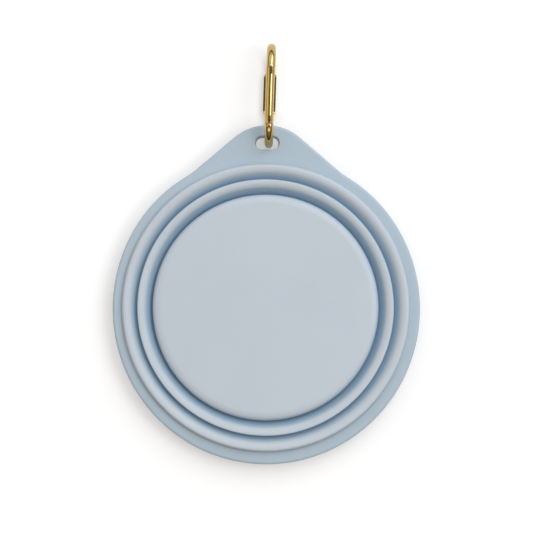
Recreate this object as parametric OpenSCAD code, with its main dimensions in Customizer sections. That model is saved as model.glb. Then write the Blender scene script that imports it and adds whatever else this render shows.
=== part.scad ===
// Collapsible silicone travel bowl, folded flat and lying base up, with a spring-gate clip in its tab.
// All sizes are in mm. The bowl's axis is Z, the table is at z = 0 and the tab points along +Y.

/* [Rim and tab] */
// Outer radius of the flat rim
rim_r = 65; // [60:0.5:72]
// Width of the flat rim outside the mouth wall
rim_w = 4.5; // [3.4:0.1:7]
// Thickness of the rim and its tab
rim_t = 2.8; // [2.2:0.1:3.2]
// Height of the rim's lower face above the table while folded
rim_z = 7; // [6.4:0.1:8]
// How far the tab's tip stands out beyond the rim
tab_reach = 12.15; // [11.5:0.05:16]
// Radius of the tab's round tip
tab_tip_r = 21.1; // [18:0.1:25]
// Angle round the rim from the tab's middle to where its straight sides meet the rim
tab_root_a = 29.4; // [28:0.2:36]
// Radius of the hollow blend from the tab's side into the rim
tab_blend_r = 25; // [10:1:40]
// Length of the slot across the tab
slot_len = 10.3; // [8:0.1:14]
// Width of the slot along the tab
slot_w = 5.8; // [5.2:0.1:6.6]
// Strip left between the slot and the tab's tip
slot_strip = 4.45; // [4:0.05:5.2]

/* [Folding rings] */
// Thickness of the mouth wall
mouth_t = 3.2; // [2.6:0.1:4.2]
// Rounding of the mouth wall's outer edge
mouth_round = 1.3; // [0.6:0.1:2.3]
// Thickness of the middle band and the base wall
wall_t = 2.3; // [1.8:0.1:2.6]
// Thickness of the thin folds between them
fold_t = 1; // [0.7:0.05:1.2]
// Radius step from the mouth wall to the middle band
outer_step = 6.7; // [6.4:0.1:8.4]
// Radius step from the middle band to the base wall
inner_step = 6.4; // [5.6:0.1:8]
// Narrow slit beside each fold
slit_w = 0.4; // [0.3:0.05:0.6]
// Depth of each fold's sloping shoulder
fold_drop = 5.5; // [2:0.1:8]
// Rounding where a shoulder leaves its crest
fold_round = 2; // [1.3:0.1:2.5]
// Height of the mouth wall's crest above the rim
mouth_rise = 2.6; // [1.6:0.1:3.5]
// Height of the band's crest above the mouth wall's crest
band_rise = 0.2; // [0:0.1:2.5]
// Height of the base above the band's crest
base_rise = 0.5; // [0.2:0.1:2]
// Height of the foot lip that each fold ends on
foot_t = 1; // [0.8:0.1:1.6]
// Rounding of the band's outer edge
crest_round = 1.1; // [0.4:0.1:1.4]

/* [Base] */
// Thickness of the bowl's base
base_t = 2.6; // [2:0.1:4]
// Rounding of the base's edge
base_round = 3; // [1.5:0.1:4]

/* [Clip] */
// Length of the clip over its ends
clip_len = 44; // [42:0.5:52]
// Depth of the clip over both limbs
clip_depth = 21; // [19.5:0.1:22.5]
// Diameter of the clip's wire
wire_d = 3.5; // [3.1:0.05:3.9]
// Width of the flattened pad on the back limb
pad_w = 5.5; // [4:0.1:7]
// Length of the flattened pad
pad_len = 17.1; // [10:0.1:18]
// How far the pad sits beyond the back limb's middle, away from the bowl
pad_shift = 1.2; // [0:0.1:1.4]
// Thickness of the flattened pad
pad_t = 1.9; // [1.4:0.1:2.6]
// How far the clip sits to the right of the slot's middle
clip_shift = 0.8; // [-1.5:0.1:1.5]
// How far the clip's wire sits from the slot's middle towards the bowl
clip_slack = 0.45; // [0:0.05:0.6]
// How far the clip leans to the right, in degrees
clip_lean = 1.5; // [-5:0.1:5]

/* [Gate] */
// How far the gate's hinge end reaches past the straight limb into the round end
gate_reach = 1.1; // [0.4:0.1:1.6]
// Diameter of the hinge pin
hinge_d = 1; // [0.8:0.05:1.2]
// Diameter of the latch pin
latch_d = 0.9; // [0.7:0.05:1.1]
// Thickness of the tongues that the gate's forks straddle
tongue_t = 1.1; // [0.9:0.05:1.3]
// Diameter of the bore for the gate's spring
bore_d = 1.7; // [1.5:0.05:1.9]
// Length of the gate's spring
spring_len = 6.9; // [5:0.1:8]
// Diameter of the spring's wire
spring_wire = 0.22; // [0.18:0.01:0.26]
// Turns in the gate's spring
spring_turns = 9; // [6:1:11]

/* [Hidden] */
$fn = 96;

// Bowl, from the outside in and from the table up
mouth_ro = rim_r - rim_w;
mouth_ri = mouth_ro - mouth_t;
band_ro = mouth_ro - outer_step;
band_ri = band_ro - wall_t;
base_ro = band_ro - inner_step;
base_ri = base_ro - wall_t;
rim_top = rim_z + rim_t;
mouth_z = rim_top + mouth_rise;
band_z = mouth_z + band_rise;
base_z = band_z + base_rise;
foot_w = slit_w + fold_t;

// Tab: a round tip, two straight sides tangent to it and a hollow blend that ends just inside the rim
tip_y = rim_r + tab_reach - tab_tip_r;
root_d = [rim_r * sin(tab_root_a), rim_r * cos(tab_root_a) - tip_y];
tip_a = atan2(root_d[1], root_d[0]) + acos(tab_tip_r / norm(root_d));
side_n = [cos(tip_a), sin(tip_a)];
side_t = [side_n[1], -side_n[0]];
side_c = tip_y * side_n[1] + tab_tip_r;
root_r = rim_r - 0.03;
blend_s = sqrt(pow(root_r + tab_blend_r, 2) - pow(side_c + tab_blend_r, 2));
blend_c = (side_c + tab_blend_r) * side_n - blend_s * side_t;
root_a = atan2(blend_c[1], blend_c[0]);
slot_y = rim_r + tab_reach - slot_strip - slot_w / 2;

// Clip: two straight limbs and two round ends, hung with its wire through the slot
wire_r = wire_d / 2;
bend_r = (clip_depth - wire_d) / 2;
limb_len = clip_len - clip_depth;
clip_z = clip_depth / 2;
clip_y = slot_y - clip_slack + sqrt(pow(bend_r, 2) - pow(clip_z - rim_z - rim_t / 2, 2));
end_gap = 0.15;
fork_w = tongue_t + 0.2;
gate_y = -gate_reach;
knuckle_d = 2;
hinge_y = gate_y + knuckle_d;
knuckle_r = knuckle_d - end_gap;
tongue_h = 1.45 * wire_r;
tongue_end = 1.2;
tongue_round = 1.55;
nose_top = sqrt(pow(wire_r, 2) - pow(tongue_t / 2, 2)) - 0.02;
pad_y = (limb_len - pad_len) / 2 + pad_shift;
fork_depth = hinge_y + tongue_round + 0.2;
latch_y = limb_len - 1.6;
nose_start = latch_y - latch_d / 2 - 0.75;
nose_fork = nose_start - 0.3;
notch_r = latch_d / 2 + 0.15;
plunger_r = bore_d / 2 - 0.07;
plunger_y = hinge_y + tongue_end + 0.05;
plunger_len = 2.8;
spring_y = plunger_y + plunger_len + 0.05;
bore_end = spring_y + spring_len + 0.05;
coil_r = bore_d / 2 - 0.1 - spring_wire / 2;
coil_steps = 16;
coil_sides = 6;

// Points on an arc about c, from angle a to angle b
function arc(c, r, a, b, n) = [for (i = [0:n]) let (t = a + (b - a) * i / n) c + r * [cos(t), sin(t)]];

// The same points on the other side of the Y axis, in reverse order
function across(pts) = [for (i = [len(pts) - 1:-1:0]) [-pts[i][0], pts[i][1]]];

// Slope of a shoulder that leaves its crest level, rounds over and runs straight down to its leg
function shoulder_slope(run, drop) = atan2(drop, run) + asin(fold_round / norm([run, drop]));

// Section of a wall whose outer top edge is rounded
module wall_section(ri, ro, z0, z1, edge) {
    translate([ri, z0]) square([ro - ri, z1 - z0 - edge]);
    translate([ri, z0]) square([ro - ri - edge, z1 - z0]);
    translate([ro - edge, z1 - edge]) intersection() {
        circle(r = edge);
        square(edge);
    }
}

// A thin fold: its shoulder slopes down from a crest's inner edge, then it drops beside the next ring
module fold(crest_ri, crest_z, ring_ro) {
    leg_ri = ring_ro + slit_w;
    leg_ro = leg_ri + fold_t;
    slope = shoulder_slope(crest_ri - leg_ri, fold_drop - fold_round);
    bend_c = [crest_ri, crest_z - fold_round];
    leg_z = crest_z - fold_drop;
    under_z = leg_z + fold_t * (tan(slope) - 1 / cos(slope));
    rotate_extrude() polygon(concat(
        arc(bend_c, fold_round, 90, 90 + slope, 8),
        [[leg_ri, leg_z], [leg_ri, foot_t], [leg_ro, foot_t], [leg_ro, under_z]],
        arc(bend_c, fold_round - fold_t, 90 + slope, 90, 8)
    ));
}

// Outline of the tab, with its root inside the rim
module tab_outline() {
    blend = arc(blend_c, tab_blend_r, 180 + root_a, 180 + tip_a, 6);
    polygon(concat(
        blend,
        arc([0, tip_y], tab_tip_r, tip_a, 180 - tip_a, 28),
        across(blend),
        arc([0, 0], rim_r - rim_w / 2, 180 - root_a, root_a, 16)
    ));
}

// Slot with round ends
module slot_outline() {
    half = (slot_len - slot_w) / 2;
    translate([0, slot_y]) {
        square([2 * half, slot_w], center = true);
        translate([-half, 0]) circle(d = slot_w);
        translate([half, 0]) circle(d = slot_w);
    }
}

// Flat rim, tab and mouth wall, which move as one
module rim_with_tab() {
    color("#aebfcd") difference() {
        union() {
            rotate_extrude() {
                translate([mouth_ri, rim_z]) square([rim_r - mouth_ri, rim_t]);
                wall_section(mouth_ri, mouth_ro, rim_z, mouth_z, mouth_round);
            }
            translate([0, 0, rim_z]) linear_extrude(rim_t) tab_outline();
        }
        translate([0, 0, rim_z - 1]) linear_extrude(rim_t + 2) slot_outline();
    }
}

// Thin fold between the mouth wall and the middle band
module outer_fold() {
    color("#9fb2c2") fold(mouth_ri, mouth_z, band_ro);
}

// Stiff middle band with the foot lip that carries the outer fold
module middle_band() {
    color("#aebfcd") {
        rotate_extrude() wall_section(band_ri, band_ro, 0, band_z, crest_round);
        rotate_extrude() translate([band_ro - wall_t / 2, 0]) square([wall_t / 2 + foot_w, foot_t]);
    }
}

// Thin fold between the middle band and the base wall
module inner_fold() {
    color("#9fb2c2") fold(band_ri, band_z, base_ro);
}

// Base with its wall and the foot lip that carries the inner fold
module base_cup() {
    color("#aebfcd") rotate_extrude() {
        translate([0, base_z - base_t]) square([base_ro - base_round, base_t]);
        difference() {
            union() {
                translate([base_ro - base_round, 0]) square([base_round, base_z - base_round]);
                translate([base_ro - base_round, base_z - base_round]) circle(r = base_round);
            }
            square([base_ri, base_z - base_t]);
        }
        translate([base_ri, 0]) square([wall_t + foot_w, foot_t]);
    }
}

// Sets its children in the clip's place: y along the clip, z from the back limb to the gate
module at_clip() {
    translate([clip_shift, clip_y, clip_z]) rotate([0, 0, -clip_lean]) children();
}

// Turns a shape drawn in (y, z) so that its height runs along x
module side_on() {
    rotate([90, 0, 90]) children();
}

// Round rod along y at height z
module rod(y0, y1, z, r) {
    translate([0, y0, z]) rotate([-90, 0, 0]) cylinder(r = r, h = y1 - y0);
}

// Round end of the clip, from angle a over half a turn
module bend(a) {
    side_on() rotate([0, 0, a]) rotate_extrude(angle = 180) translate([bend_r, 0]) circle(r = wire_r);
}

// Round end by the bowl, cut square where the gate begins
module near_bend() {
    difference() {
        bend(90);
        translate([-wire_d, gate_y, bend_r - wire_d]) cube([2 * wire_d, gate_reach + 1, 2 * wire_d]);
    }
}

// Flattened part of the back limb, with round corners
module pad() {
    corner = 1.2;
    translate([0, pad_y, -bend_r - pad_t / 2]) linear_extrude(pad_t) {
        translate([-pad_w / 2 + corner, 0]) square([pad_w - 2 * corner, pad_len]);
        translate([-pad_w / 2, corner]) square([pad_w, pad_len - 2 * corner]);
        for (x = [-1, 1], y = [corner, pad_len - corner]) {
            translate([x * (pad_w / 2 - corner), y]) circle(r = corner);
        }
    }
}

// Tongue at the hinge end, seen from the side: its flat end works the plunger
module hinge_tongue() {
    translate([gate_y - 0.5, -tongue_h / 2]) square([knuckle_d + 0.5, tongue_h]);
    intersection() {
        translate([hinge_y, 0]) circle(r = tongue_round);
        translate([hinge_y - 1, -2]) square([tongue_end + 1, 4]);
    }
}

// Tongue at the nose, seen from the side, with a notch that lets the latch pin drop out
module nose_tongue() {
    difference() {
        translate([nose_start, -tongue_h / 2]) {
            square([limb_len + 0.5 - nose_start, tongue_h / 2 + nose_top]);
        }
        translate([latch_y, 0]) circle(r = notch_r);
        translate([latch_y - notch_r, -tongue_h]) square([2 * notch_r, tongue_h]);
    }
}

// Bent wire body with a flattened back and a tongue at each end of the gate's gap
module clip_body() {
    color("#d9b45a") at_clip() {
        difference() {
            union() {
                near_bend();
                translate([0, limb_len, 0]) bend(-90);
                rod(0, pad_y + 1.5, -bend_r, wire_r);
                rod(pad_y + pad_len - 1.5, limb_len, -bend_r, wire_r);
                pad();
                translate([0, 0, bend_r]) side_on() linear_extrude(tongue_t, center = true) hinge_tongue();
                translate([0, 0, bend_r]) side_on() linear_extrude(tongue_t, center = true) nose_tongue();
            }
            pin_shape(hinge_y, hinge_d / 2 + 0.02, wire_d);
        }
    }
}

// Pin across the gate at y, half as long again each side as asked for
module pin_shape(y, r, len) {
    translate([0, y, bend_r]) side_on() cylinder(r = r, h = len, center = true);
}

// Gate: a rod forked over both tongues, with a round knuckle and a bore for its spring
module clip_gate() {
    color("#d9b45a") at_clip() {
        difference() {
            intersection() {
                rod(gate_y + end_gap, limb_len - end_gap, bend_r, wire_r);
                union() {
                    pin_shape(hinge_y, knuckle_r, 2 * wire_d);
                    translate([-wire_d, hinge_y, bend_r - wire_d]) cube([2 * wire_d, limb_len, 2 * wire_d]);
                }
            }
            translate([-fork_w / 2, gate_y, bend_r - wire_d]) {
                cube([fork_w, fork_depth - gate_y, 2 * wire_d]);
            }
            translate([-fork_w / 2, nose_fork, bend_r - wire_d]) cube([fork_w, limb_len, 2 * wire_d]);
            rod(fork_depth - 0.5, bore_end, bend_r, bore_d / 2);
            pin_shape(hinge_y, hinge_d / 2 + 0.05, 2 * wire_d);
            pin_shape(latch_y, latch_d / 2 + 0.02, 2 * wire_d);
        }
    }
}

// Rivet that the gate turns on
module hinge_pin() {
    color("#c8a24a") at_clip() pin_shape(hinge_y, hinge_d / 2, wire_d - 0.1);
}

// Rivet in the gate's free end that closes into the nose's notch
module latch_pin() {
    color("#c8a24a") at_clip() pin_shape(latch_y, latch_d / 2, wire_d - 0.1);
}

// A point on the coil's wire: step i along it, corner j around it
function coil_point(i, j, n) =
    let (a = 360 * i / coil_steps, b = 360 * j / coil_sides)
    let (r = coil_r + spring_wire / 2 * cos(b))
    let (s = spring_wire / 2 + (spring_len - spring_wire) * i / n)
    [r * cos(a), spring_y + s + spring_wire / 2 * sin(b), bend_r + r * sin(a)];

// Coil spring that pushes the plunger against the hinge tongue
module gate_spring() {
    n = spring_turns * coil_steps;
    points = [for (i = [0:n], j = [0:coil_sides - 1]) coil_point(i, j, n)];
    walls = [for (i = [0:n - 1], j = [0:coil_sides - 1])
        let (k = (j + 1) % coil_sides)
        [i * coil_sides + j, i * coil_sides + k, (i + 1) * coil_sides + k, (i + 1) * coil_sides + j]];
    start = [for (j = [0:coil_sides - 1]) coil_sides - 1 - j];
    end = [for (j = [0:coil_sides - 1]) n * coil_sides + j];
    color("#b8b8b8") at_clip() polyhedron(points = points, faces = concat(walls, [start, end]));
}

// Plunger with a round nose that works against the hinge tongue
module spring_plunger() {
    color("#b8b8b8") at_clip() {
        translate([0, plunger_y + plunger_r, bend_r]) sphere(r = plunger_r);
        rod(plunger_y + plunger_r, plunger_y + plunger_len, bend_r, plunger_r);
    }
}

rim_with_tab();
outer_fold();
middle_band();
inner_fold();
base_cup();
clip_body();
clip_gate();
hinge_pin();
latch_pin();
gate_spring();
spring_plunger();
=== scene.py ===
# %% [markdown]
# # A folding silicone bowl with a spring-gate clip
# The bowl lies upside down and pressed flat, so what faces up is its base, two round crests and the flat
# rim. The imported CAD model is the frame for everything below. Each piece made here stands where its solid
# stands, in metres. The rings and the clip's parts move with their solid's body, so the clip can still open;
# the folds and the coil are fixed where they stand.

# %% Load the frame
import math

import bmesh
import bpy
import numpy as np
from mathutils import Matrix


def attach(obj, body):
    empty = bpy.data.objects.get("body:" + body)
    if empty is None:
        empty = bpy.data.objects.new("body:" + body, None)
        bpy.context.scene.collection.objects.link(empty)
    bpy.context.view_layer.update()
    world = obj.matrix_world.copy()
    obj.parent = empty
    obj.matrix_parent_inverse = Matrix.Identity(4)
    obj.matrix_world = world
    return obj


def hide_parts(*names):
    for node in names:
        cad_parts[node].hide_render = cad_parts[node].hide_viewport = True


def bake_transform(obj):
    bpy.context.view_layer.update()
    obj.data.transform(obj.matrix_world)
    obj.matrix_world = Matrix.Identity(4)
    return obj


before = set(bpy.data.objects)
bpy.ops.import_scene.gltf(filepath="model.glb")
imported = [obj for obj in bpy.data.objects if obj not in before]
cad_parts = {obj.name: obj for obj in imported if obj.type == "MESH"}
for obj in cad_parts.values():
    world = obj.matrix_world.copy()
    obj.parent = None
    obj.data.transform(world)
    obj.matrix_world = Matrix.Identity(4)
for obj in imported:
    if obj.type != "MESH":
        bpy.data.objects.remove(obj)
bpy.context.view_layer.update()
MM = 0.001

# %% [markdown]
# ## Sizes of the rings
# Folded flat, the bowl is a set of rings: the flat rim, the mouth wall with the first crest, the middle
# band with the second one, and the base. These are the radii and heights of the CAD solids, in
# millimetres. A soft bowl never folds quite true, so the rings sit half a millimetre off the rim's
# middle, towards the tab, the inner ones a little more.

# %% Ring sizes
RIM_R, RIM_Z, RIM_TOP = 65.0, 7.0, 9.8
MOUTH_RI, MOUTH_RO, MOUTH_Z = 57.3, 60.5, 12.4
BAND_RI, BAND_RO, BAND_Z = 51.5, 53.8, 12.6
BASE_RI, BASE_RO, BASE_Z = 45.1, 47.4, 13.1
MOUTH_SHIFT = np.array([-0.22, 0.46])
BASE_SHIFT = np.array([-0.32, 0.57])
print(f"rim {2 * RIM_R:.0f} mm across, base {2 * BASE_RO:.1f} mm across")

# %% [markdown]
# ## Camera
# The photograph was taken from straight above: every circle of the bowl is still a circle in it. A long
# lens from 0.9 m gives that flat look. The width of the frame follows from the rim, which is 130 mm
# across. The tab points a third of a degree to the right of straight up, so the camera is rolled by that
# much instead of turning the object.

# %% Camera
FRAME_WIDTH = 223.8
CAMERA_DISTANCE = 900.0
CAMERA_X, CAMERA_Y = -0.03, 17.78
CAMERA_ROLL = math.radians(0.3)

camera_data = bpy.data.cameras.new("camera")
camera_data.sensor_width = 36.0
camera_data.lens = camera_data.sensor_width * CAMERA_DISTANCE / FRAME_WIDTH
camera = bpy.data.objects.new("camera", camera_data)
camera.location = (CAMERA_X * MM, CAMERA_Y * MM, (RIM_TOP + CAMERA_DISTANCE) * MM)
camera.rotation_euler = (0.0, 0.0, CAMERA_ROLL)
bpy.context.scene.collection.objects.link(camera)
bpy.context.scene.camera = camera
print(f"lens {camera_data.lens:.0f} mm at {CAMERA_DISTANCE:.0f} mm")

# %% [markdown]
# ## From a grid of points to a piece
# Blender can model by hand, with modifiers, or from numbers. Here a shape is a grid of points that numpy
# works out all at once, with a quad between neighbours. Where two grids share an edge their points are
# equal, so merging them closes the shell, and a shell that is closed can have its faces turned outwards
# by Blender itself.

# %% Grid and piece helpers
def as_shell(rows, close_rows=False):
    """Rows of points as a pair of points and quads. A quad joins two neighbours in a row to the two after
    them; each row runs on from its last point to its first, and closed rows from the last row to the
    first."""
    index = np.arange(rows.shape[0] * rows.shape[1]).reshape(rows.shape[:2])
    if close_rows:
        index = np.vstack([index, index[:1]])
    index = np.hstack([index, index[:, :1]])
    quads = np.stack([index[:-1, :-1], index[:-1, 1:], index[1:, 1:], index[1:, :-1]], axis=-1)
    return rows.reshape(-1, 3), quads.reshape(-1, 4)


def finish_mesh(mesh, sharp):
    """Merges points that coincide, turns the faces outwards and shades smooth where faces meet at less than
    sharp, in degrees."""
    form = bmesh.new()
    form.from_mesh(mesh)
    bmesh.ops.remove_doubles(form, verts=form.verts, dist=1e-7)
    bmesh.ops.recalc_face_normals(form, faces=form.faces)
    form.to_mesh(mesh)
    form.free()
    mesh.shade_smooth()
    mesh.set_sharp_from_angle(angle=math.radians(sharp))


def make_piece(name, shells, sharp=40.0):
    """One object from shells, each a pair of points in millimetres and quads."""
    starts = np.cumsum([0] + [len(points) for points, _ in shells])
    points = np.concatenate([points for points, _ in shells]) * MM
    quads = np.concatenate([quads + start for (_, quads), start in zip(shells, starts)])
    mesh = bpy.data.meshes.new(name)
    mesh.from_pydata(points.tolist(), [], quads.tolist())
    finish_mesh(mesh, sharp)
    piece = bpy.data.objects.new(name, mesh)
    bpy.context.scene.collection.objects.link(piece)
    return piece


def stands_for(piece, node, material):
    """Gives a piece its finish and hides the solid of the frame that it stands for."""
    piece.data.materials.append(material)
    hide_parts(node)
    print(f"{piece.name}: {len(piece.data.polygons)} faces")


# %% [markdown]
# ## Node helper and colours
# A material is a small network of nodes. One function adds a node, sets its own properties and fills its
# inputs with a value or with another node's output, so a material reads as a list. Colours are written as
# sRGB hex codes, as a paint program shows them, and turned to the linear values that the renderer works
# with.

# %% Node helper and colours
def linear(code):
    """Linear RGBA of an sRGB hex code: c / 12.92 in the darkest part, ((c + 0.055) / 1.055) ** 2.4 above."""
    srgb = np.array([int(code[k:k + 2], 16) for k in (1, 3, 5)]) / 255
    value = np.where(srgb <= 0.04045, srgb / 12.92, ((srgb + 0.055) / 1.055) ** 2.4)
    return (*value.tolist(), 1.0)


def add_node(tree, kind, inputs=None, **settings):
    """Adds a node of a kind; each input, by name or number, takes a value or a link from a node."""
    made = tree.nodes.new(kind)
    for name, value in settings.items():
        setattr(made, name, value)
    for name, value in (inputs or {}).items():
        if isinstance(value, bpy.types.NodeSocket):
            tree.links.new(value, made.inputs[name])
        else:
            made.inputs[name].default_value = value
    return made


def empty_material(name):
    """A new node material with nothing in it."""
    material = bpy.data.materials.new(name)
    material.use_nodes = True
    material.node_tree.nodes.clear()
    return material, material.node_tree


# %% [markdown]
# ## Silicone rubber
# The bowl is pressed from silicone in a hot steel mould whose blasted walls leave a matt, slightly silky
# skin. Silicone is cloudy rather than opaque: light goes in a little way, and more of the blue comes back
# out. The colour also carries painted light: the raised flats of the base and the crests are painted
# lighter, a painted sheen, and the grooves a deeper blue, which is painted shade and painted blue light
# from the thin folds. The flat rim keeps the plain tint. These follow the rings, so the tint is a ramp
# over the distance from their axis.

# %% Tint by ring: painted sheen and shade
# Painted light: the lightest tint is a painted sheen on the raised flats, the bluest painted shade in the
# grooves.
PAINTED_SHEEN, CLEAN, GROOVE_SHADE = "#c0cad3", "#aebfcb", "#9bb4c7"
RING_TINTS = [(46.2, PAINTED_SHEEN), (BASE_RO, GROOVE_SHADE), (49.6, GROOVE_SHADE), (51.2, PAINTED_SHEEN), (53.3, PAINTED_SHEEN),
              (BAND_RO, GROOVE_SHADE), (55.2, GROOVE_SHADE), (57.0, PAINTED_SHEEN), (59.9, PAINTED_SHEEN), (MOUTH_RO, CLEAN)]


def ring_ramp(tree, place):
    """Colour ramp over the radius in the bowl's plane, from the first ring tint's radius to the last's."""
    inmost, outmost = RING_TINTS[0][0], RING_TINTS[-1][0]
    centred = add_node(tree, "ShaderNodeMapping",
                       {"Vector": place, "Location": (*(-BASE_SHIFT * MM), 0.0), "Scale": (1.0, 1.0, 0.0)})
    radius = add_node(tree, "ShaderNodeVectorMath", {0: centred.outputs["Vector"]}, operation="LENGTH")
    along = add_node(tree, "ShaderNodeMapRange", {"Value": radius.outputs["Value"], "From Min": inmost * MM,
                                                  "From Max": outmost * MM})
    ramp = add_node(tree, "ShaderNodeValToRGB", {"Fac": along.outputs["Result"]})
    stops = ramp.color_ramp.elements
    for k, (ring, code) in enumerate(RING_TINTS):
        is_last = k == len(RING_TINTS) - 1
        stop = stops[-1] if is_last else stops.new((ring - inmost) / (outmost - inmost))
        stop.color = linear(code)
    stops.remove(stops[0])
    return ramp.outputs["Color"]


print(f"{len(RING_TINTS)} tints from {RING_TINTS[0][0]} to {RING_TINTS[-1][0]} mm")

# %% [markdown]
# The pigment is stirred in, so the grey-blue also drifts a little over a few centimetres. The grain of
# the blasted mould is about 0.1 mm; that is a quarter of a pixel here, so it is drawn at 0.6 mm to show
# at all.

# %% Moulded silicone rubber
PIGMENT_DRIFT, GRAIN, GRAIN_DEPTH = 26.0, 0.6, 0.05


def moulded_silicone():
    """Grey-blue silicone: ring tints of painted sheen and shade, a slow drift of pigment, a grain bump,
    cloudy skin, IOR 1.41.
    """
    material, tree = empty_material("moulded_silicone_rubber")
    place = add_node(tree, "ShaderNodeTexCoord").outputs["Object"]
    drift = add_node(tree, "ShaderNodeTexNoise",
                     {"Vector": place, "Scale": 1 / (PIGMENT_DRIFT * MM), "Detail": 3.0})
    shade = add_node(tree, "ShaderNodeMapRange",
                     {"Value": drift.outputs["Fac"], "To Min": 0.955, "To Max": 1.025})
    tint = add_node(tree, "ShaderNodeMix", {0: 1.0, 6: ring_ramp(tree, place), 7: shade.outputs["Result"]},
                    data_type="RGBA", blend_type="MULTIPLY")
    grain = add_node(tree, "ShaderNodeTexNoise", {"Vector": place, "Scale": 1 / (GRAIN * MM), "Detail": 2.0})
    gloss = add_node(tree, "ShaderNodeMapRange",
                     {"Value": grain.outputs["Fac"], "To Min": 0.42, "To Max": 0.54})
    bump = add_node(tree, "ShaderNodeBump",
                    {"Height": grain.outputs["Fac"], "Strength": 0.12, "Distance": GRAIN_DEPTH * MM})
    skin = add_node(tree, "ShaderNodeBsdfPrincipled",
                    {"Base Color": tint.outputs[2], "Roughness": gloss.outputs["Result"], "IOR": 1.41,
                     "Subsurface Weight": 0.25, "Subsurface Radius": (0.4, 0.8, 1.3),
                     "Subsurface Scale": 1.5 * MM, "Normal": bump.outputs["Normal"]})
    add_node(tree, "ShaderNodeOutputMaterial", {"Surface": skin.outputs["BSDF"]})
    return material


silicone = moulded_silicone()
print("material:", silicone.name)

# %% [markdown]
# ## Gold plating
# The clip is bent from brass wire, tumbled smooth and plated with a pale gold. Tumbling leaves a polish
# with a trace of waviness, about 1 mm across, which breaks the reflections up a little, and handling
# leaves patches of about 4 mm that are not quite as bright. A metal has no IOR of its own to set: its
# colour is the reflection.

# %% Polished gold plating
PATCH, WAVE, WAVE_DEPTH = 4.0, 1.0, 0.03


def gold_plating():
    """Pale gold: a reflection colour that drifts between two golds, patchy polish and a tumbled wave."""
    material, tree = empty_material("polished_gold_plating")
    place = add_node(tree, "ShaderNodeTexCoord").outputs["Object"]
    patch = add_node(tree, "ShaderNodeTexNoise", {"Vector": place, "Scale": 1 / (PATCH * MM), "Detail": 3.0})
    tint = add_node(tree, "ShaderNodeMix",
                    {0: patch.outputs["Fac"], 6: linear("#b59c5c"), 7: linear("#cdb880")}, data_type="RGBA")
    polish = add_node(tree, "ShaderNodeMapRange",
                      {"Value": patch.outputs["Fac"], "To Min": 0.03, "To Max": 0.06})
    wave = add_node(tree, "ShaderNodeTexNoise", {"Vector": place, "Scale": 1 / (WAVE * MM), "Detail": 1.0})
    bump = add_node(tree, "ShaderNodeBump",
                    {"Height": wave.outputs["Fac"], "Strength": 0.02, "Distance": WAVE_DEPTH * MM})
    plating = add_node(tree, "ShaderNodeBsdfPrincipled",
                       {"Base Color": tint.outputs[2], "Metallic": 1.0,
                        "Roughness": polish.outputs["Result"], "Normal": bump.outputs["Normal"]})
    add_node(tree, "ShaderNodeOutputMaterial", {"Surface": plating.outputs["BSDF"]})
    return material


gold = gold_plating()
print("material:", gold.name)

# %% [markdown]
# ## Drawn spring steel
# The coil and the plunger inside the gate are plain drawn wire: grey, with fine lines along the drawing
# direction. They hide inside the gate, so a simple streaked steel is enough; the streaks are 0.15 mm
# apart.

# %% Drawn spring steel
STREAK = 0.15


def spring_steel():
    """Grey steel whose polish changes in fine streaks along the clip."""
    material, tree = empty_material("drawn_spring_steel")
    place = add_node(tree, "ShaderNodeTexCoord").outputs["Object"]
    along = add_node(tree, "ShaderNodeMapping", {"Vector": place, "Scale": (1.0, 0.1, 1.0)})
    streak = add_node(tree, "ShaderNodeTexNoise",
                      {"Vector": along.outputs["Vector"], "Scale": 1 / (STREAK * MM), "Detail": 2.0})
    polish = add_node(tree, "ShaderNodeMapRange",
                      {"Value": streak.outputs["Fac"], "To Min": 0.25, "To Max": 0.40})
    wire = add_node(tree, "ShaderNodeBsdfPrincipled",
                    {"Base Color": linear("#b9b9b6"), "Metallic": 1.0, "Roughness": polish.outputs["Result"]})
    add_node(tree, "ShaderNodeOutputMaterial", {"Surface": wire.outputs["BSDF"]})
    return material


steel = spring_steel()
print("material:", steel.name)

# %% [markdown]
# ## Rounded profiles
# Nothing that comes out of a mould has a perfectly sharp edge, and the light that catches on a small
# rounding is what tells the eye so. A profile is written as its corners with a radius each, and every
# such corner becomes an arc that is tangent to both its sides. A point close to each end of the arc keeps
# the flat beside it flat in smooth shading.

# %% Rounded profiles
HOLD = 0.08
CORNER_STEPS = 8


def rounded(corners):
    """Profile through (u, v, radius) corners. The arc's centre lies on the corner's bisector,
    radius / sin(half its angle) away, and the arc turns its first spoke into its last: a mix of the two
    weighted by sines."""
    corners = np.asarray(corners, float)
    spots = corners[:, :2]
    outline = []
    for k, (here, radius) in enumerate(zip(spots, corners[:, 2])):
        if radius == 0:
            outline.append(here[None])
            continue
        back = spots[k - 1] - here
        ahead = spots[(k + 1) % len(spots)] - here
        back = back / np.linalg.norm(back)
        ahead = ahead / np.linalg.norm(ahead)
        half = 0.5 * math.acos(back @ ahead)
        reach = radius / math.tan(half)
        bisector = (back + ahead) / np.linalg.norm(back + ahead)
        centre = here + bisector * radius / math.sin(half)
        turn = math.pi - 2 * half
        t = np.linspace(0, 1, CORNER_STEPS + 1)[:, None]
        first = here + back * reach - centre
        last = here + ahead * reach - centre
        arc = centre + (np.sin((1 - t) * turn) * first + np.sin(t * turn) * last) / math.sin(turn)
        outline += [(here + back * (reach + HOLD))[None], arc, (here + ahead * (reach + HOLD))[None]]
    return np.concatenate(outline)


def quarter(start, end, steps=16):
    """Quarter of an ellipse that leaves its start level and reaches its end upright: over a turn t of up
    to 90 degrees, the radius goes over by sin t and the height by 1 - cos t."""
    t = 0.5 * np.pi * np.linspace(0, 1, steps + 1)[:, None]
    start, end = np.asarray(start), np.asarray(end)
    return start + (end - start) * np.concatenate([np.sin(t), 1 - np.cos(t)], axis=1)


# %% [markdown]
# A ring is such a profile of (radius, height) points carried once round its middle, as on a lathe. A fold
# has to bend, so its outline first gets more points than its corners need.

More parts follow.
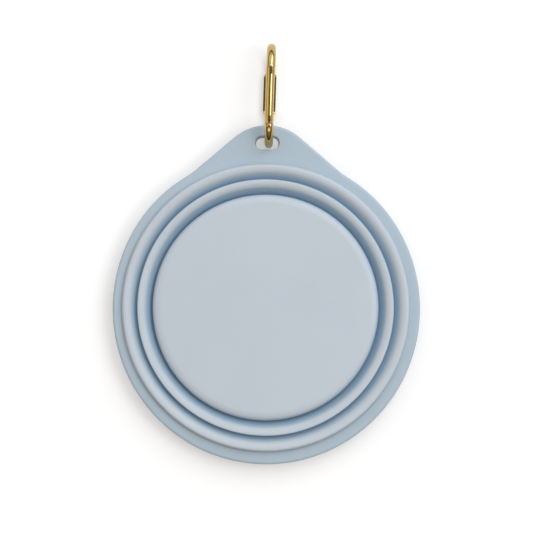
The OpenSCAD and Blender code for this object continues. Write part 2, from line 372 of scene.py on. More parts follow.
# %% Turned rings
def refined(outline, step):
    """The outline with more points, none further apart than step: interpolated over the length along it."""
    length = np.concatenate([[0], np.cumsum(np.linalg.norm(np.diff(outline, axis=0), axis=1))])
    marks = np.union1d(length, np.linspace(0, length[-1], int(length[-1] / step) + 2))
    marks = marks[np.concatenate([[True], np.diff(marks) > 1e-4])]
    return np.stack([np.interp(marks, length, outline[:, k]) for k in (0, 1)], axis=1)


def circles(profile, angle, middle):
    """Rows of points on circles about a ring's middle: (r cos a, r sin a, z) for each (r, z)."""
    r, z = profile[:, :1], profile[:, 1:]
    rows = np.broadcast_arrays(middle[0] + r * np.cos(angle), middle[1] + r * np.sin(angle), z)
    return np.stack(rows, axis=-1)


def turned(profile, middle, closed=True, turns=288):
    """A profile carried once round a ring's middle, as a lathe would turn it."""
    angle = np.linspace(0, 2 * np.pi, turns, endpoint=False)
    return as_shell(circles(profile, angle, middle), close_rows=closed)


# %% [markdown]
# ## Crests and shoulders
# Each crest is a narrow flat with a rounded outer edge. On its inside a shoulder leaves it level, rounds
# over slowly and then runs straight down into the groove, close beside the next ring. The stiff ring
# carries the start of that rounding and the thin fold the rest, so both take their points from the same
# arc and the skin runs on smoothly.

# %% Shoulder
FOLD_T = 1.0
FOLD_GAP = 0.15
SHOULDER_R = 3.5
MOUTH_PEAK, BAND_PEAK = 58.9, 52.8
OUTER_DROP, INNER_DROP = 3.6, 4.8


def shoulder(peak, crest_z, ring_ri, leg, deep):
    """Rows of a shoulder as three parts: the ring's upper points, the fold's upper points and its lower
    ones. An arc leaves the peak level, and the slope is its tangent through the top of the leg, which
    lies run further in and drop lower than the arc's centre: the arc turns by
    atan(drop / run) + asin(radius / distance). The ring ends where the arc reaches its inner radius.
    The lower points are the same lines one wall thickness further down."""
    run, drop = peak - leg, deep - SHOULDER_R
    slope = math.atan2(drop, run) + math.asin(SHOULDER_R / math.hypot(run, drop))
    leg_z = crest_z - deep
    under_z = leg_z + FOLD_T * (math.tan(slope) - 1 / math.cos(slope))
    under_r = SHOULDER_R - FOLD_T

    def arc_between(radius, start, stop, steps):
        turn = np.linspace(start, stop, steps + 1)
        return np.stack([peak - radius * np.sin(turn), crest_z - SHOULDER_R + radius * np.cos(turn)], axis=1)

    seam = math.asin((peak - ring_ri) / SHOULDER_R)
    under_seam = math.asin((peak - ring_ri) / under_r)
    upper = np.concatenate([arc_between(SHOULDER_R, seam, slope, 12), [(leg, leg_z)]])
    lower = np.concatenate([arc_between(under_r, under_seam, slope, 8), [(leg + FOLD_T, under_z)]])
    return arc_between(SHOULDER_R, seam, 0, 6), upper, lower


outer_shoulder = shoulder(MOUTH_PEAK, MOUTH_Z, MOUTH_RI, BAND_RO + FOLD_GAP, OUTER_DROP)
inner_shoulder = shoulder(BAND_PEAK, BAND_Z, BAND_RI, BASE_RO + FOLD_GAP, INNER_DROP)
print(f"grooves {OUTER_DROP} and {INNER_DROP} mm deep")

# %% [markdown]
# ## The edge of the rim and its tab
# The flat rim is a ring that grows a rounded tab on one side, for the clip. Seen from the bowl's axis,
# every ray crosses the outer edge exactly once, so the edge is a function of the ray's angle: the tab's
# round tip, its straight side, the hollow blend and then the plain circle, each tangent to the next. The
# same numbers made the CAD solid. Away from the tab a soft rim is a trace wider along the tab's line than
# across it.

# %% Rim and tab edge
TAB_REACH = 12.15
TIP_R = 21.1
TAB_ROOT = math.radians(29.4)
BLEND_R = 25.0
OVAL = 0.006

tip = np.array([0.0, RIM_R + TAB_REACH - TIP_R])
root = RIM_R * np.array([math.sin(TAB_ROOT), math.cos(TAB_ROOT)]) - tip
side_angle = math.atan2(root[1], root[0]) + math.acos(TIP_R / np.linalg.norm(root))
side = np.array([math.cos(side_angle), math.sin(side_angle)])
side_distance = tip @ side + TIP_R
blend_run = math.sqrt((RIM_R + BLEND_R) ** 2 - (side_distance + BLEND_R) ** 2)
blend = (side_distance + BLEND_R) * side - blend_run * np.array([side[1], -side[0]])


def off_centre(spot):
    """Angle of a spot from the tab's middle line."""
    return math.atan2(spot[0], spot[1])


def rim_edge(angle):
    """Point and outward normal of the rim's edge on each ray. On the ray d, a circle about c with radius
    R lies at d.c plus or minus sqrt((d.c)^2 - c.c + R^2), and a line with normal n and distance k lies
    at k / d.n."""
    ray = np.stack([np.abs(np.cos(angle)), np.sin(angle)], axis=1)
    away = np.arctan2(ray[:, 0], ray[:, 1])
    on_tip = ray @ tip + np.sqrt(np.maximum((ray @ tip) ** 2 - tip @ tip + TIP_R ** 2, 0))
    on_side = side_distance / np.maximum(ray @ side, 0.1)
    on_blend = ray @ blend - np.sqrt(np.maximum((ray @ blend) ** 2 - blend @ blend + BLEND_R ** 2, 0))
    on_rim = RIM_R * (1 - OVAL * np.where(away > np.pi / 4, np.cos(2 * angle), 0))
    zones = [away < off_centre(tip + TIP_R * side), away < off_centre(blend - BLEND_R * side),
             away < off_centre(blend)]
    edge = np.select(zones, [on_tip, on_side, on_blend], on_rim)[:, None] * ray
    normals = [(edge - tip) / TIP_R, np.broadcast_to(side, edge.shape), (blend - edge) / BLEND_R]
    normal = np.select([zone[:, None] for zone in zones], normals, ray)
    mirror = np.stack([np.where(np.cos(angle) < 0, -1.0, 1.0), np.ones(len(angle))], axis=1)
    return edge * mirror, normal * mirror


print(f"tab tip at {RIM_R + TAB_REACH:.1f} mm, sides at {math.degrees(side_angle):.1f} degrees")

# %% [markdown]
# ## The slot in the tab
# A slot cannot be part of a simple grid of rings. The rows of the flange are therefore parted along one
# line: inside the slot's sector the two halves draw apart and follow its lower and upper edge, elsewhere
# they lie on each other and are merged. A rounded wall then runs round the opening. A Boolean would do it
# too, with worse faces.

# %% Slot edges
SLOT_Y = 69.8
SLOT_HALF = 2.25
SLOT_R = 2.9
LIP = 0.3

slot_end = np.array([SLOT_HALF, SLOT_Y])
slot_sector = off_centre(slot_end) + math.asin((SLOT_R + LIP) / np.linalg.norm(slot_end))


def slot_edges(angle):
    """Distance along each ray to the slot's lower and upper edge, opened by its lip: its straight side
    while the ray meets it within the straight part, and otherwise the near or far crossing of its round
    end."""
    ray = np.stack([np.abs(np.cos(angle)), np.sin(angle)], axis=1)
    half_chord = np.sqrt(np.maximum((ray @ slot_end) ** 2 - slot_end @ slot_end + (SLOT_R + LIP) ** 2, 0))
    edges = []
    for level, crossing in ((-1, ray @ slot_end - half_chord), (1, ray @ slot_end + half_chord)):
        straight = (SLOT_Y + level * (SLOT_R + LIP)) / ray[:, 1]
        edges.append(np.where(straight * ray[:, 0] <= SLOT_HALF, straight, crossing))
    return edges


print(f"slot sector: {math.degrees(2 * slot_sector):.1f} degrees")

# %% [markdown]
# ## Rim, tab and mouth wall
# This is the stiff outer ring of the bowl: the flat flange with the tab, and the short wall behind it
# whose rounded top is the first crest. Its rows run from the crest's inner edge over the top, round the
# outer edge and back underneath, and its rays are closer at the tab and closest at the slot, where the
# outline turns fastest.

# %% Rim with tab: rays
EDGE_ROUND = 1.1
FILLET = 0.3
TAB_SPAN = math.radians(40)
SLOT_RAYS, SIDE_RAYS, RIM_RAYS = 49, 72, 188

in_slot = slot_sector * np.sin(0.5 * np.pi * np.linspace(-1, 1, SLOT_RAYS))
beside = np.linspace(slot_sector, TAB_SPAN, SIDE_RAYS)[1:]
around = np.linspace(TAB_SPAN, 2 * np.pi - TAB_SPAN, RIM_RAYS)[1:-1]
rays = 0.5 * np.pi + np.concatenate([in_slot, beside, around, -beside[::-1]])
ray = np.stack([np.cos(rays), np.sin(rays)], axis=1)

edge, edge_normal = rim_edge(rays)
inset = edge - EDGE_ROUND * edge_normal
flange_r = MOUTH_RO + FILLET
flange = MOUTH_SHIFT + flange_r * ray
near, far = slot_edges(rays)
share = (near[0] - flange_r) / (np.linalg.norm(inset[0]) - flange_r)
parting = flange_r + share * (np.linalg.norm(inset, axis=1) - flange_r)
near[SLOT_RAYS:] = far[SLOT_RAYS:] = parting[SLOT_RAYS:]
near_edge, far_edge = near[:, None] * ray, far[:, None] * ray
print(f"{len(rays)} rays, {SLOT_RAYS} of them across the slot")

# %% [markdown]
# A slot comes out of its mould only if its wall leans a little. This one opens upwards, most on the tip's
# side, so a dark sliver of wall shows there from above. The lean moves each point of the wall's foot
# inwards and back.

# %% Rim with tab: rows
DRAFT = 0.5
TURN_STEPS = 8


def strip(start, end, stops, z):
    """Rows between two edges of the flange: start + stop (end - start) at one height."""
    flat = start[None] + np.asarray(stops)[:, None, None] * (end - start)[None]
    return np.concatenate([flat, np.full((*flat.shape[:2], 1), z)], axis=2)


def rounded_edge(start, normal, turn_radius, lean=0.0):
    """Rows over an edge: a quarter turn out from the top, down the side, which may lean, and a quarter
    turn in to the bottom."""
    turn = np.linspace(0, 0.5 * np.pi, TURN_STEPS + 1)
    out = turn_radius * np.concatenate([np.sin(turn), [1, 1], np.cos(turn)])
    z = np.concatenate([RIM_TOP - turn_radius * (1 - np.cos(turn)),
                        [RIM_TOP - turn_radius - HOLD, RIM_Z + turn_radius + HOLD],
                        RIM_Z + turn_radius * (1 - np.sin(turn))])
    down = (RIM_TOP - z) / (RIM_TOP - RIM_Z)
    flat = start[None] + out[:, None, None] * normal[None] + down[:, None, None] * lean
    return np.concatenate([flat, np.broadcast_to(z[:, None, None], (*flat.shape[:2], 1))], axis=2)


def slot_inward(opening):
    """Unit directions from the slot's edge to its middle line."""
    along_slot = np.clip(opening[:, 0], -SLOT_HALF, SLOT_HALF)
    spine = np.stack([along_slot, np.full(len(opening), SLOT_Y)], axis=1)
    return (spine - opening) / (SLOT_R + LIP)


def lean_of(opening):
    """How far the slot wall's foot moves: inwards by the draft, and by as much again towards the bowl."""
    return DRAFT * slot_inward(opening) - [0, DRAFT]


near_foot, far_foot = near_edge.copy(), far_edge.copy()
near_foot[:SLOT_RAYS] += lean_of(near_edge[:SLOT_RAYS])
far_foot[:SLOT_RAYS] += lean_of(far_edge[:SLOT_RAYS])
slot_ends = [0, SLOT_RAYS - 1]
far_foot[slot_ends] = near_foot[slot_ends]
print(f"slot wall leans by up to {2 * DRAFT} mm")

# %% Rim with tab: the piece
MOUTH_ROUND = 1.3
UNDER_ROUND = 0.4
ROW_STOPS = np.array([0, 0.03, 0.2, 0.4, 0.6, 0.8, 0.97, 1])

wall_foot = (MOUTH_RO, RIM_TOP + FILLET)
crest = np.concatenate([outer_shoulder[0], quarter((MOUTH_RO - MOUTH_ROUND, MOUTH_Z), wall_foot),
                        quarter((flange_r, RIM_TOP), wall_foot, 6)[-2::-1]])
inner = rounded([(flange_r, RIM_Z, 0), (MOUTH_RI, RIM_Z, UNDER_ROUND), (*crest[0], 0)])

top_inside = np.concatenate([circles(crest, rays, MOUTH_SHIFT),
                             strip(flange, near_edge, ROW_STOPS[1:], RIM_TOP)])
outside = np.concatenate([strip(far_edge, inset, ROW_STOPS[:-1], RIM_TOP),
                          rounded_edge(inset, edge_normal, EDGE_ROUND),
                          strip(inset, far_foot, ROW_STOPS[1:], RIM_Z)])
under_inside = np.concatenate([strip(near_foot, flange, ROW_STOPS[:-1], RIM_Z),
                               circles(inner, rays, MOUTH_SHIFT)])
opening = np.concatenate([near_edge[:SLOT_RAYS], far_edge[:SLOT_RAYS][-2:0:-1]])
slot_wall = rounded_edge(opening, slot_inward(opening), LIP, lean_of(opening))

skins = [as_shell(rows) for rows in (top_inside, outside, under_inside, slot_wall)]
rim = make_piece("rim_with_tab_skin", skins)
stands_for(rim, "rim_with_tab", silicone)
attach(rim, "rim")

# %% [markdown]
# ## The two folds
# Between the stiff rings the wall is thin, and that is where the bowl folds: it drops from a crest into a
# narrow groove and ends on the lip at the next ring's foot, a trace inside it so that the skin is
# unbroken. The fold is a turned profile like the rings, and its outline is refined to many rows. It is
# fixed where it stands and does not stretch when the rings move.

# %% Outer and inner fold
FOOT_T = 1.0
FOOT_SINK = 0.1
FOLD_STEP = 0.3


def fold_profile(upper, lower):
    """Closed outline of a fold: the shoulder down to the groove, a leg to the foot, and the same way back
    one wall thickness further out."""
    foot_z = FOOT_T - FOOT_SINK
    foot = [(upper[-1, 0], foot_z), (lower[-1, 0], foot_z)]
    return refined(np.concatenate([upper, foot, lower[::-1], upper[:1]]), FOLD_STEP)[:-1]


outer_fold = make_piece("outer_fold_skin", [turned(fold_profile(*outer_shoulder[1:]), MOUTH_SHIFT)])
stands_for(outer_fold, "outer_fold", silicone)
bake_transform(outer_fold)

inner_fold = make_piece("inner_fold_skin", [turned(fold_profile(*inner_shoulder[1:]), BASE_SHIFT)])
stands_for(inner_fold, "inner_fold", silicone)
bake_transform(inner_fold)

# %% [markdown]
# ## Middle band and base
# The middle band is a stiff ring with a rounded crest. The base is a shallow cup: a flat disc whose edge
# rolls over into a short wall. Both carry a small lip at the foot, where the fold outside them ends.
# Turned profiles again, with the wide, flat rounding of the base doing most of the work in the picture.

# %% Middle band
FOOT_REACH, FOOT_EDGE, FOOT_CORNER = 1.4, 0.15, 0.2
WALL_LOW = FOOT_T + 2
BAND_ROUND = 0.6


def ring_foot(ring_ro, ring_ri):
    """Corners of a ring's lower part: down its outer wall, out round the foot lip and back under it."""
    lip_r = ring_ro + FOOT_REACH
    return [(ring_ro, WALL_LOW, 0), (ring_ro, FOOT_T, FOOT_EDGE), (lip_r, FOOT_T, FOOT_EDGE),
            (lip_r, 0, FOOT_CORNER), (ring_ri, 0, UNDER_ROUND)]


crest = np.concatenate([inner_shoulder[0],
                        quarter((BAND_RO - BAND_ROUND, BAND_Z), (BAND_RO, BAND_Z - BAND_ROUND))])
band_profile = np.concatenate([crest, rounded([*ring_foot(BAND_RO, BAND_RI), (*crest[0], 0)])[:-1]])
band = make_piece("middle_band_skin", [turned(band_profile, BASE_SHIFT)])
stands_for(band, "middle_band", silicone)
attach(band, "band")

# %% Base
BASE_T = 2.6
BASE_EDGE_R, BASE_EDGE_DROP = 3.8, 2.1
BASE_INSIDE = 1.0

edge_start = np.array([BASE_RO - BASE_EDGE_R, BASE_Z])
inside_z = BASE_Z - BASE_T
base_profile = np.concatenate([
    [(0, BASE_Z), edge_start - [HOLD, 0]],
    quarter(edge_start, (BASE_RO, BASE_Z - BASE_EDGE_DROP), 24),
    rounded([*ring_foot(BASE_RO, BASE_RI), (BASE_RI, inside_z, BASE_INSIDE), (0, inside_z, 0)])])
base = make_piece("base_cup_skin", [turned(base_profile, BASE_SHIFT, closed=False)])
stands_for(base, "base_cup", silicone)
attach(base, "base")

# %% [markdown]
# ## The clip's bent wire
# The clip is one piece of 3.5 mm wire bent into a long oval, pressed a trace wider across, most at its
# far end. Its back limb is pressed flat, which makes it wider and thinner there, and not quite in the
# middle. A section carried along the oval gives all of that: a circle that turns into a flat,
# square-cornered superellipse and back. The clip stands on edge, with the flat back on the table and the
# gate on top.

# %% Clip frame and wire sweep
CLIP_AT = np.array([0.8, 77.844, 10.5])
CLIP_LEAN = math.radians(-1.5)
BEND_R = 8.75
WIRE_R = 1.75
LIMB = 23.0
ROUND = 2.0
WIRE_WIDE, WIRE_GROWTH = 1.03, 0.05
GROWS_FROM, GROWS_OVER = 12, 16

cos_lean, sin_lean = math.cos(CLIP_LEAN), math.sin(CLIP_LEAN)
lean = np.array([[cos_lean, -sin_lean, 0], [sin_lean, cos_lean, 0], [0, 0, 1]])


def at_clip(points):
    """Points from the clip's own axes (y along it, z from the flat back to the gate) to the bowl's."""
    return CLIP_AT + points @ lean.T


def swept(centre, along, half_x, half_n, power, sides=48, aside=0.0):
    """A section carried along a path in the clip's (y, z) plane: centre + x half_x C + normal half_n S,
    where C and S are cosine and sine raised to 2 / power, which squares a circle off as the power grows.
    Aside moves it along x."""
    turn = np.linspace(0, 2 * np.pi, sides, endpoint=False)[None]
    exponent = 2 / power[:, None]
    wide = half_x[:, None] * np.sign(np.cos(turn)) * np.abs(np.cos(turn)) ** exponent
    high = half_n[:, None] * np.sign(np.sin(turn)) * np.abs(np.sin(turn)) ** exponent
    normal = np.stack([-along[:, 1], along[:, 0]], axis=1)
    flat = centre[:, None] + high[..., None] * normal[:, None]
    wide = wide + np.reshape(aside, (-1, 1))
    return as_shell(at_clip(np.concatenate([wide[..., None], flat], axis=2)))


def smooth(x):
    """0 to 1 with level ends: 3 x^2 - 2 x^3."""
    x = np.clip(x, 0, 1)
    return x * x * (3 - 2 * x)


def wire_half(y):
    """Half the wire's width at a place along the clip, growing by a twentieth towards the far end."""
    return WIRE_R * (WIRE_WIDE + WIRE_GROWTH * smooth((y - GROWS_FROM) / GROWS_OVER))


def ends_eased(run, half, eases):
    """Half width of a rod along its length: zero at each end face, then a quarter round of its ease."""
    for ease, inward in zip(eases, (run - run[0], run[-1] - run)):
        half = half - ease + ease * np.sqrt(1 - (1 - np.clip(inward / ease, 0, 1)) ** 2)
    half[[0, -1]] = 0
    return half


# %% Clip body: path
SEAM_EASE, NOSE_EASE = 0.15, 0.06
SEAM_RUN = 0.105 * BEND_R
NOSE_REACH = 0.06
BEND_STEPS, LIMB_STEPS = 64, 235

bend_len = np.pi * BEND_R
whole = 2 * np.pi * BEND_R + LIMB + NOSE_REACH
bend_run = np.linspace(0, np.pi, BEND_STEPS + 1) * BEND_R
limb_run = bend_len + np.linspace(0, LIMB, LIMB_STEPS + 1)
ease_turn = 1 - np.cos(np.linspace(0, 0.5 * np.pi, 7))
run = np.concatenate([SEAM_RUN + SEAM_EASE * ease_turn, bend_run[bend_run > SEAM_RUN + 2 * SEAM_EASE],
                      limb_run, bend_run[:-1] + bend_len + LIMB, whole - NOSE_EASE * ease_turn])
run = np.unique(run.round(5))
run = np.concatenate([run[:1], run, run[-1:]])

first = np.pi / 2 + np.clip(run / BEND_R, 0, np.pi)
last = -np.pi / 2 + np.maximum(run - bend_len - LIMB, 0) / BEND_R
turn = np.where(run < bend_len + LIMB / 2, first, last)
limb_y = np.clip(run - bend_len, 0, LIMB)
centre = np.stack([limb_y + BEND_R * np.cos(turn), BEND_R * np.sin(turn)], axis=1)
along = np.stack([-np.sin(turn), np.cos(turn)], axis=1)
print(f"wire path {whole - SEAM_RUN:.1f} mm long")

# %% Clip body: section
PAD_W, PAD_T, PAD_ASIDE = 5.4, 1.9, -0.2
PAD_FROM, PAD_TO = 4.15, 21.25
PAD_CORNER = 1.2
PAD_LEAD, PAD_EASE = 0.8, 2.0
SQUARER = 34.0

pad_in = np.minimum(limb_y - PAD_FROM, PAD_TO - limb_y)
corner = np.clip(pad_in / PAD_CORNER, 0, 1)
widen = np.sqrt(1 - (1 - corner) ** 2)
flatten = smooth((pad_in + PAD_LEAD) / PAD_EASE)
half_x = ends_eased(run, wire_half(centre[:, 0]), (SEAM_EASE, NOSE_EASE))
half_n = ends_eased(run, np.full(len(run), WIRE_R), (SEAM_EASE, NOSE_EASE))
wire = swept(centre, along, half_x + (PAD_W / 2 - half_x) * widen, half_n + (PAD_T / 2 - half_n) * flatten,
             ROUND + SQUARER * flatten, aside=PAD_ASIDE * widen)
print(f"pad {PAD_TO - PAD_FROM:.1f} mm long and {PAD_W} mm wide")

# %% [markdown]
# The gate's fork straddles a flat tongue at each end of the gap. A tongue fills its fork, so its top has
# the same crown as the rod, and only a hairline shows. The hinge tongue's lower half is round, for the
# gate to turn about; the nose tongue has a notch that the latch rivet drops out of.

# %% Clip body: tongues and the piece
TONGUE_T, TONGUE_H, TONGUE_TOP = 1.1, 1.27, 1.63
CROWN = 0.09
HINGE = np.array([0.9, 0.0])
LATCH = np.array([21.4, 0.0])
HEEL_R, NOTCH_R = 1.55, 0.6
WIRE_SHARP = 35


def plate(outline, thick, crown=0.0):
    """A flat plate: an outline in (y, z), drawn about the gate's axis, given its thickness along x and
    closed by fans to its middle. A crown lifts the middle of its top edge."""
    ring = np.concatenate([np.zeros((len(outline), 1)), outline + [0, BEND_R]], axis=1)
    crest = ring + np.array([0, 0, crown]) * (outline[:, 1:] > TONGUE_H + 0.1)
    middle = np.broadcast_to(ring.mean(axis=0), ring.shape)
    step = np.array([thick / 2, 0, 0])
    return as_shell(at_clip(np.stack([middle - step, ring - step, crest, ring + step, middle + step])))


def arc(middle, radius, start, stop, steps=16):
    """Points on a circle between two angles in degrees."""
    a = np.radians(np.linspace(start, stop, steps + 1))
    return middle + radius * np.stack([np.cos(a), np.sin(a)], axis=1)


hinge_tongue = np.concatenate([
    [[-1.6, -TONGUE_H], [-0.1, -TONGUE_H]], arc(HINGE, HEEL_R, -129.3, -39.3),
    [[HINGE[0] + 1.2, 1.2], [HINGE[0] + 0.9, TONGUE_TOP], [-0.9, TONGUE_TOP], [-1.6, TONGUE_H]]])
nose_tongue = np.concatenate([
    [[20.2, -TONGUE_H], [20.8, -TONGUE_H]], arc(LATCH, NOTCH_R, 180, 0),
    [[22.0, -TONGUE_H], [LIMB + 0.5, -TONGUE_H], [LIMB + 0.5, TONGUE_TOP], [20.2, TONGUE_TOP]]])
tongues = [plate(outline, TONGUE_T, CROWN) for outline in (hinge_tongue, nose_tongue)]
clip_body = make_piece("clip_body_wire", [wire, *tongues], WIRE_SHARP)
stands_for(clip_body, "clip_body", gold)
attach(clip_body, "clip")

# %% [markdown]
# ## The gate
# The gate is a short rod of the same wire, a hair to one side like the pad. One end is forked and rounded
# to a knuckle below, and turns on a rivet through the body's tongue; the other end is forked over the
# nose. Slots in a round rod are what a Boolean is good at, so the rod, the knuckle shape and the cutters
# come from numpy and Blender cuts one with the other. The knuckle is shaped last, after the forks and the
# bore.

# %% Boolean helper and rod
def carve(piece, shell, operation="DIFFERENCE"):
    """Cuts a closed shell out of a piece, or keeps only what lies inside it, and stores the result."""
    tool = make_piece("tool", [shell])
    step = piece.modifiers.new("carve", "BOOLEAN")
    step.operation, step.solver, step.object = operation, "EXACT", tool
    result = bpy.data.meshes.new_from_object(piece.evaluated_get(bpy.context.evaluated_depsgraph_get()))
    piece.modifiers.clear()
    before, piece.data = piece.data, result
    tool_mesh = tool.data
    bpy.data.objects.remove(tool)
    for mesh in (before, tool_mesh):
        bpy.data.meshes.remove(mesh)


def round_sweep(y, half, **options):
    """A round section of half width half at each place y on the gate's axis."""
    centre = np.stack([y, np.full(len(y), BEND_R)], axis=1)
    along = np.broadcast_to([1.0, 0.0], centre.shape)
    return swept(centre, along, half, half, np.full(len(y), ROUND), **options)


def straight_rod(y0, y1, half_at, eases, aside=0.0):
    """A round rod along the gate's axis, as thick as half_at says at each place, with eased ends."""
    length = y1 - y0
    run = np.unique(np.concatenate([eases[0] * ease_turn, np.linspace(0.5, length - 0.5, 24),
                                    length - eases[1] * ease_turn]))
    run = np.concatenate([run[:1], run, run[-1:]])
    return round_sweep(y0 + run, ends_eased(run, half_at(y0 + run), eases), aside=aside)


# %% Gate
KNUCKLE_R = 1.75
GATE_FROM, GATE_TO = HINGE[0] - KNUCKLE_R, LIMB - 0.15
FORK_W, FORK_DEPTH, NOSE_FORK = 1.16, 2.65, 19.9
BORE_R, BORE_END, BORE_EASES = 0.85, 11.95, (0.05, 0.05)
GATE_ASIDE = -0.15
CUT_END, CUT_HALF, KNUCKLE_HALF = LIMB + 1, 3.0, 2.5

rod = straight_rod(GATE_FROM, GATE_TO, wire_half, (SEAM_EASE, NOSE_EASE), GATE_ASIDE)
gate = make_piece("clip_gate_rod", [rod])
for start, stop in ((GATE_FROM - 1, FORK_DEPTH), (NOSE_FORK, CUT_END)):
    fork = np.array([[start, -CUT_HALF], [stop, -CUT_HALF], [stop, CUT_HALF], [start, CUT_HALF]])
    carve(gate, plate(fork, FORK_W))
carve(gate, straight_rod(FORK_DEPTH - 0.5, BORE_END, lambda y: np.full(len(y), BORE_R), BORE_EASES))
knuckle = np.concatenate([
    arc(HINGE, KNUCKLE_R, 180, 270, 24),
    [[CUT_END, -KNUCKLE_HALF], [CUT_END, KNUCKLE_HALF], [GATE_FROM - 0.01, KNUCKLE_HALF]]])
carve(gate, plate(knuckle, 2 * CUT_HALF), "INTERSECT")
finish_mesh(gate.data, WIRE_SHARP)
stands_for(gate, "clip_gate", gold)
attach(gate, "gate")

# %% [markdown]
# ## Rivets, spring and plunger
# Two small rivets cross the gate: it turns on one and closes on the other. Inside the bore a coil spring
# pushes a round-nosed plunger against the tongue, and that is what snaps the gate shut. The rivets have
# slightly bulged heads, the coil is a small circle carried along a helix, and the plunger is a rod with
# one end drawn out to a half ball.

# %% Rivets
RIVET_LEN, RIVET_DOME = 3.4, 0.12


def cross_rod(middle, radius, length, dome, sides=32):
    """A round pin across the clip, with ends that bulge by dome: its half width falls as a circle's does."""
    turn = np.linspace(0, 0.5 * np.pi, 6)
    reach = length / 2 - dome + dome * np.cos(turn)
    x = np.concatenate([-reach, reach[::-1]])[:, None]
    r = radius * np.concatenate([np.sin(turn), np.sin(turn)[::-1]])[:, None]
    a = np.linspace(0, 2 * np.pi, sides, endpoint=False)
    rows = np.broadcast_arrays(x, middle[0] + r * np.cos(a), BEND_R + middle[1] + r * np.sin(a))
    return as_shell(at_clip(np.stack(rows, axis=-1)))


for name, middle, radius, body in (("hinge_pin", HINGE, 0.5, "clip"), ("latch_pin", LATCH, 0.45, "gate")):
    rivet = make_piece(name + "_rivet", [cross_rod(middle, radius, RIVET_LEN, RIVET_DOME)])
    stands_for(rivet, name, gold)
    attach(rivet, body)

# %% Spring
SPRING_FROM, SPRING_LEN = 5.0, 6.9
COIL_R, COIL_WIRE, COILS = 0.64, 0.11, 9
COIL_STEPS, COIL_SIDES = 20, 10

s = np.linspace(0, 1, COILS * COIL_STEPS + 1)[:, None]
b = np.linspace(0, 2 * np.pi, COIL_SIDES, endpoint=False)[None]
thick = np.concatenate([[[0.0]], np.full_like(s, COIL_WIRE), [[0.0]]])
s = np.concatenate([s[:1], s, s[-1:]])
spin = 2 * np.pi * COILS * s
reach = COIL_R + thick * np.cos(b)
rise = SPRING_FROM + COIL_WIRE + (SPRING_LEN - 2 * COIL_WIRE) * s + thick * np.sin(b)
coil = np.stack([reach * np.cos(spin), rise, BEND_R + reach * np.sin(spin)], axis=-1)
spring = make_piece("gate_spring_coil", [as_shell(at_clip(coil))])
stands_for(spring, "gate_spring", steel)
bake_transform(spring)

# %% Plunger
PLUNGER_FROM, PLUNGER_LEN, PLUNGER_R = 2.15, 2.8, 0.78
PLUNGER_EASE, PLUNGER_TAPER = 0.1, 0.08

turn = np.linspace(0, 0.5 * np.pi, 10)
run = np.concatenate([PLUNGER_R * (1 - np.cos(turn)),
                      [PLUNGER_LEN - PLUNGER_EASE, PLUNGER_LEN, PLUNGER_LEN]])
half = np.concatenate([PLUNGER_R * np.sin(turn), [PLUNGER_R, PLUNGER_R - PLUNGER_TAPER, 0]])
plunger = make_piece("spring_plunger_rod", [round_sweep(PLUNGER_FROM + run, half, sides=32)])
stands_for(plunger, "spring_plunger", steel)
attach(plunger, "plunger")

# %% [markdown]
# ## Floor
# The bowl lies on plain white paper. To the camera, and in reflections, the paper is part painted and
# part glowing, so it reaches white under the studio light and still shows the soft shadow; to the light
# that bounces about it is ordinary pale paper.

# %% Paper floor
FLOOR_HALF = 4000.0
PAPER_GLOW = 0.35


def paper():
    """White paper: a diffuse share that takes the shadow plus a glow; plain diffuse for bounced light."""
    material, tree = empty_material("white_paper")
    light = add_node(tree, "ShaderNodeLightPath").outputs
    seen = add_node(tree, "ShaderNodeMath", {0: light["Is Camera Ray"], 1: light["Is Glossy Ray"]},
                    operation="ADD")
    seen = add_node(tree, "ShaderNodeMath", {0: seen.outputs[0], 1: light["Is Transmission Ray"]},
                    operation="ADD", use_clamp=True)
    plain = add_node(tree, "ShaderNodeBsdfDiffuse", {"Color": linear("#e4e4e4")})
    shade = add_node(tree, "ShaderNodeBsdfDiffuse", {"Color": linear("#dadada")})
    glow = add_node(tree, "ShaderNodeEmission", {"Color": linear("#ffffff"), "Strength": PAPER_GLOW})
    lit = add_node(tree, "ShaderNodeAddShader", {0: shade.outputs[0], 1: glow.outputs[0]})
    surface = add_node(tree, "ShaderNodeMixShader",
                       {0: seen.outputs[0], 1: plain.outputs[0], 2: lit.outputs[0]})
    add_node(tree, "ShaderNodeOutputMaterial", {"Surface": surface.outputs[0]})
    return material


sheet = FLOOR_HALF * np.array([[-1, -1, 0], [1, -1, 0], [1, 1, 0], [-1, 1, 0]])
floor = make_piece("floor", [(sheet, np.array([[0, 1, 2, 3]]))])
floor.data.materials.append(paper())
print("floor: white paper")

# %% [markdown]
# ## Light
# The table stands beside a bright window wall, at the top and the right of the picture, and the rest of
# the room is dim and a little warm, turning brown towards the horizon. Overhead hangs the camera, and
# that dark patch is the dark line in the middle of the gold wire. All of that is the world, which is
# worked out from the direction alone.

# %% Room
WINDOW = math.radians(75)
WINDOW_LOW, WINDOW_HIGH = 0.32, 1.13
ROOM_LOW, ROOM_HIGH = 0.15, 0.4
CAMERA_PATCH = 0.2

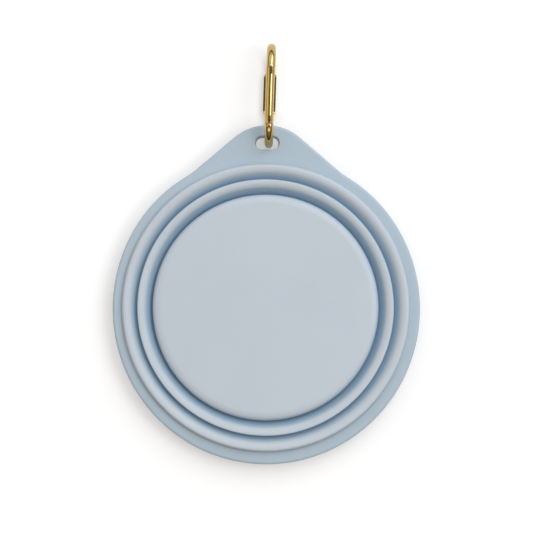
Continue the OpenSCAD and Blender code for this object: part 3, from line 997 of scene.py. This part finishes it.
world = bpy.data.worlds.new("studio")
bpy.context.scene.world = world
world.use_nodes = True
world.node_tree.nodes.clear()
tree = world.node_tree
direction = add_node(tree, "ShaderNodeTexCoord").outputs["Generated"]
height = add_node(tree, "ShaderNodeSeparateXYZ", {0: direction}).outputs["Z"]
facing = add_node(tree, "ShaderNodeVectorMath", {0: direction, 1: (math.cos(WINDOW), math.sin(WINDOW), 0)},
                  operation="DOT_PRODUCT").outputs["Value"]
window = add_node(tree, "ShaderNodeMapRange", {"Value": facing, "From Min": -0.5, "From Max": 0.6},
                  interpolation_type="SMOOTHSTEP").outputs["Result"]
bright = add_node(tree, "ShaderNodeMapRange", {"Value": height, "From Max": 0.5, "To Min": WINDOW_LOW,
                                               "To Max": WINDOW_HIGH})
dim = add_node(tree, "ShaderNodeMapRange", {"Value": height, "From Min": 0.35, "From Max": 0.75,
                                            "To Min": ROOM_LOW, "To Max": ROOM_HIGH})
level = add_node(tree, "ShaderNodeMix", {0: window, 2: dim.outputs["Result"], 3: bright.outputs["Result"]})
overhead = add_node(tree, "ShaderNodeMapRange", {"Value": height, "From Min": 0.92, "From Max": 0.97,
                                                 "To Min": 1.0, "To Max": CAMERA_PATCH})
strength = add_node(tree, "ShaderNodeMath", {0: level.outputs[0], 1: overhead.outputs["Result"]},
                    operation="MULTIPLY")
upper = add_node(tree, "ShaderNodeMix", {0: window, 6: linear("#fff0e2"), 7: linear("#f0f8ff")},
                 data_type="RGBA")
low = add_node(tree, "ShaderNodeMapRange", {"Value": height, "From Max": 0.4})
colour = add_node(tree, "ShaderNodeMix",
                  {0: low.outputs["Result"], 6: linear("#d8845c"), 7: upper.outputs[2]}, data_type="RGBA")
studio = add_node(tree, "ShaderNodeBackground",
                  {"Color": colour.outputs[2], "Strength": strength.outputs[0]})
add_node(tree, "ShaderNodeOutputWorld", {"Surface": studio.outputs[0]})
print(f"room: window side up to {WINDOW_HIGH}, dim side up to {ROOM_HIGH}")

# %% [markdown]
# One large softbox on the window's side gives the soft shadow to the lower left. Polished metal only
# looks like metal when it has something to reflect, so a white strip on the right, a warm card on the
# left and white cards above and below put the bright and amber lines on the wire. The strip and the lower
# card also lift the shaded sides of the rings a little. The upper card stays small: a large one would
# fill the dark line on the wire.

# %% Softbox and reflector cards
LAMP_FAR = 2.0
# Name, direction and height in degrees, width and length in metres, radiance, colour
LAMPS = [
    ("window_softbox", 58, 48, 1.0, 1.8, 1.85, "#ffffff"),
    ("white_strip", 0, 57, 0.9, 0.9, 2.9, "#ffffff"),
    ("amber_card", 180, 30, 0.7, 1.0, 1.0, "#ffd49e"),
    ("upper_card", 95, 76, 0.4, 0.35, 4.0, "#ffffff"),
    ("lower_card", 270, 58, 2.0, 0.5, 1.2, "#ffffff"),
]


def softbox(name, around, height, wide, tall, radiance, code):
    """A rectangular lamp on a sphere about the bowl, facing it. Area A and radiance L give pi A L watts."""
    data = bpy.data.lights.new(name, "AREA")
    data.shape, data.size, data.size_y = "RECTANGLE", wide, tall
    data.energy = math.pi * wide * tall * radiance
    data.color = linear(code)[:3]
    lamp = bpy.data.objects.new(name, data)
    around, height = math.radians(around), math.radians(height)
    level = LAMP_FAR * math.cos(height)
    lamp.location = (level * math.cos(around), level * math.sin(around), LAMP_FAR * math.sin(height))
    lamp.rotation_euler = (math.pi / 2 - height, 0, around + math.pi / 2)
    bpy.context.scene.collection.objects.link(lamp)
    print(f"{name}: {data.energy:.2f} W")


for lamp in LAMPS:
    softbox(*lamp)
bpy.context.scene.view_settings.view_transform = "Standard"
